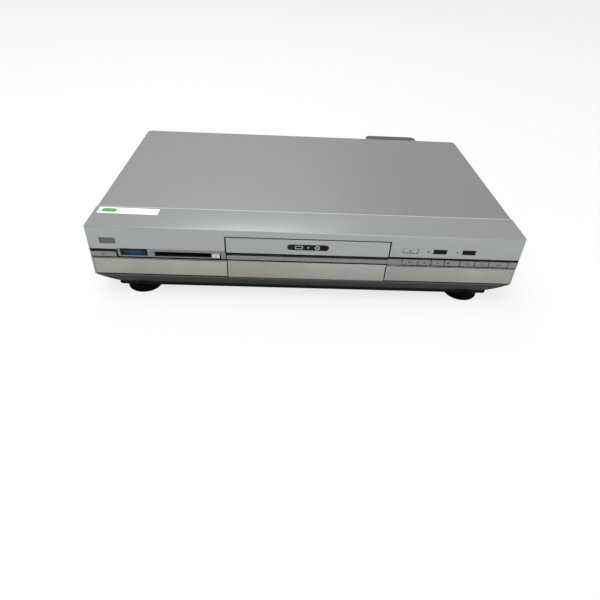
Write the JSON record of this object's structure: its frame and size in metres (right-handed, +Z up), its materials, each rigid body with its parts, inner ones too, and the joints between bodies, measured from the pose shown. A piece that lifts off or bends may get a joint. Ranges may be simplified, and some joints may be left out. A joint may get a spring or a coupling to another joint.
{
  "type": "disc recorder",
  "caption": "Low silver disc recorder with a drawer tray, drop-down mirror flaps, a key row, card slots, a hard disc and a rear fan.",
  "frame": {"origin": "on the floor under the middle of the overall box", "axes": "+X to the right seen from the front, +Y to the back, +Z up"},
  "size_m": [0.43, 0.288, 0.079],
  "materials": {
    "silver_cover": "satin silver paint",
    "silver_front": "satin silver paint on plastic",
    "mirror_band": "half-mirror film on clear plastic",
    "strip_silver": "bright silver",
    "band_grey": "grey",
    "dark_key": "matt black",
    "sensor_grey": "smoked grey",
    "blue_window": "glossy blue",
    "black_moulding": "black",
    "chin_silver": "silver, darker towards the floor",
    "steel": "zinc-plated sheet",
    "pan_black": "black coated sheet",
    "rubber_black": "moulded",
    "board_green": "solder mask",
    "display_glass": "smoked glass",
    "grey_moulding": "moulded",
    "white_moulding": "moulded",
    "belt_rubber": "smooth",
    "polished_steel": "polished",
    "cast_grey": "cast",
    "fin_aluminium": "extruded",
    "sleeve": "sleeved",
    "ferrite": "ferrite and tape",
    "fan_grey": "dark grey",
    "screw_steel": "plated"
  },
  "bodies": {
    "case": {"base_pan": "pan_black", "rear_panel": "steel", "top_cover": "silver_cover", "front_fascia": "silver_front", "inner_frame": "black_moulding", "lower_trim": "chin_silver", "key_row_trims": "strip_silver", "card_bezel": "band_grey", "sensor_window": "sensor_grey", "display_window": "mirror_band", "card_reader": "steel", "front_jacks": "grey_moulding", "switch_board": "board_green", "display_module": "display_glass", "loading_motor": "steel", "drive_belt": "belt_rubber", "drive_frame": "black_moulding", "clamp_bridge": "steel", "hdd_bracket": "steel", "hard_disc": "cast_grey", "power_board": "board_green", "transformer": "ferrite", "capacitors": "sleeve", "heat_sink": "fin_aluminium", "main_board": "board_green", "tuner_can": "steel", "rear_jacks": "black_moulding", "ac_inlet": "black_moulding", "fan_frame": "black_moulding", "fan_cover": "fan_grey", "feet": "rubber_black", "cover_screws": "screw_steel"},
    "tray": {"disc_tray": "black_moulding", "tray_door": "silver_front"},
    "loading_gear": {"loading_gear": "white_moulding"},
    "motor_pulley": {"motor_pulley": "white_moulding"},
    "deck": {"traverse_deck": "steel", "guide_rods": "polished_steel", "spindle_motor": "steel", "feed_motor": "steel"},
    "turntable": {"turntable": "black_moulding"},
    "pickup": {"pickup_sled": "cast_grey"},
    "lead_screw": {"lead_screw": "polished_steel"},
    "disc_clamp": {"disc_clamp": "white_moulding"},
    "fan_rotor": {"fan_rotor": "black_moulding"},
    "left_flap": {"left_flap": "mirror_band"},
    "right_flap": {"right_flap": "mirror_band"},
    "memory_card_door": {"memory_card_door": "blue_window"},
    "power_key": {"power_key": "strip_silver"},
    "card_eject_key": {"card_eject_key": "strip_silver"},
    "open_close_key": {"open_close_key": "silver_front"},
    "left_select_key": {"left_select_key": "dark_key"},
    "right_select_key": {"right_select_key": "dark_key"},
    "programme_key": {"programme_key": "strip_silver"},
    "stop_key": {"stop_key": "strip_silver"},
    "play_key": {"play_key": "strip_silver"},
    "record_key": {"record_key": "strip_silver"},
    "pause_key": {"pause_key": "strip_silver"},
    "timer_key": {"timer_key": "strip_silver"},
    "playback_key": {"playback_key": "strip_silver"}
  },
  "joints": [
    {"name": "tray_slide", "type": "slide", "parent": "case", "child": "tray", "axis": [0, -1, 0], "range_m": [0, 0.14]},
    {"name": "loading_gear_spin", "type": "hinge", "parent": "case", "child": "loading_gear", "pos_m": [-0.05375, -0.111, 0.0511], "axis": [0, 0, 1], "range_deg": [0, 1337.9]},
    {"name": "motor_pulley_spin", "type": "hinge", "parent": "case", "child": "motor_pulley", "pos_m": [-0.025, -0.1125, 0.0511], "axis": [0, 0, 1], "range_deg": [0, 4202.69]},
    {"name": "deck_lift", "type": "slide", "parent": "case", "child": "deck", "axis": [0, 0, 1], "range_m": [0, 0.0092]},
    {"name": "turntable_spin", "type": "hinge", "parent": "deck", "child": "turntable", "pos_m": [0, -0.0715, 0.0513], "axis": [0, 0, 1], "continuous": true},
    {"name": "pickup_slide", "type": "slide", "parent": "deck", "child": "pickup", "axis": [0, 1, 0], "range_m": [0, 0.034]},
    {"name": "lead_screw_spin", "type": "hinge", "parent": "deck", "child": "lead_screw", "pos_m": [0.0215, -0.0565, 0.0499], "axis": [0, 1, 0], "range_deg": [0, 4081]},
    {"name": "clamp_spin", "type": "hinge", "parent": "case", "child": "disc_clamp", "pos_m": [0, -0.0715, 0.07], "axis": [0, 0, 1], "continuous": true},
    {"name": "fan_spin", "type": "hinge", "parent": "case", "child": "fan_rotor", "pos_m": [0.125, 0.1266, 0.0462], "axis": [0, 1, 0], "continuous": true},
    {"name": "left_flap_hinge", "type": "hinge", "parent": "case", "child": "left_flap", "pos_m": [-0.1467, -0.1426, 0.0263], "axis": [1, 0, 0], "range_deg": [0, 95]},
    {"name": "right_flap_hinge", "type": "hinge", "parent": "case", "child": "right_flap", "pos_m": [0.1467, -0.1426, 0.0263], "axis": [1, 0, 0], "range_deg": [0, 95]},
    {"name": "memory_card_door_hinge", "type": "hinge", "parent": "case", "child": "memory_card_door", "pos_m": [-0.1722, -0.142, 0.0537], "axis": [1, 0, 0], "range_deg": [0, 70], "stiffness_Nm_per_rad": 0.0008, "springref_deg": -17.19},
    {"name": "power_key_press", "type": "slide", "parent": "case", "child": "power_key", "axis": [0, 1, 0], "range_m": [0, 0.0008], "stiffness_N_per_m": 600, "springref_m": -0.0005},
    {"name": "card_eject_key_press", "type": "slide", "parent": "case", "child": "card_eject_key", "axis": [0, 1, 0], "range_m": [0, 0.0008], "stiffness_N_per_m": 600, "springref_m": -0.0005},
    {"name": "open_close_key_press", "type": "slide", "parent": "case", "child": "open_close_key", "axis": [0, 1, 0], "range_m": [0, 0.0008], "stiffness_N_per_m": 600, "springref_m": -0.0005},
    {"name": "left_select_key_press", "type": "slide", "parent": "case", "child": "left_select_key", "axis": [0, 1, 0], "range_m": [0, 0.0008], "stiffness_N_per_m": 600, "springref_m": -0.0005},
    {"name": "right_select_key_press", "type": "slide", "parent": "case", "child": "right_select_key", "axis": [0, 1, 0], "range_m": [0, 0.0008], "stiffness_N_per_m": 600, "springref_m": -0.0005},
    {"name": "programme_key_press", "type": "slide", "parent": "case", "child": "programme_key", "axis": [0, 1, 0], "range_m": [0, 0.0008], "stiffness_N_per_m": 600, "springref_m": -0.0005},
    {"name": "stop_key_press", "type": "slide", "parent": "case", "child": "stop_key", "axis": [0, 1, 0], "range_m": [0, 0.0008], "stiffness_N_per_m": 600, "springref_m": -0.0005},
    {"name": "play_key_press", "type": "slide", "parent": "case", "child": "play_key", "axis": [0, 1, 0], "range_m": [0, 0.0008], "stiffness_N_per_m": 600, "springref_m": -0.0005},
    {"name": "record_key_press", "type": "slide", "parent": "case", "child": "record_key", "axis": [0, 1, 0], "range_m": [0, 0.0008], "stiffness_N_per_m": 600, "springref_m": -0.0005},
    {"name": "pause_key_press", "type": "slide", "parent": "case", "child": "pause_key", "axis": [0, 1, 0], "range_m": [0, 0.0008], "stiffness_N_per_m": 600, "springref_m": -0.0005},
    {"name": "timer_key_press", "type": "slide", "parent": "case", "child": "timer_key", "axis": [0, 1, 0], "range_m": [0, 0.0008], "stiffness_N_per_m": 600, "springref_m": -0.0005},
    {"name": "playback_key_press", "type": "slide", "parent": "case", "child": "playback_key", "axis": [0, 1, 0], "range_m": [0, 0.0008], "stiffness_N_per_m": 600, "springref_m": -0.0005}
  ],
  "couplings": [
    {"joint": "loading_gear_spin", "follows": "tray_slide", "rad_per_m": 166.67},
    {"joint": "motor_pulley_spin", "follows": "tray_slide", "rad_per_m": 523.81},
    {"joint": "lead_screw_spin", "follows": "pickup_slide", "rad_per_m": 2094.4}
  ]
}
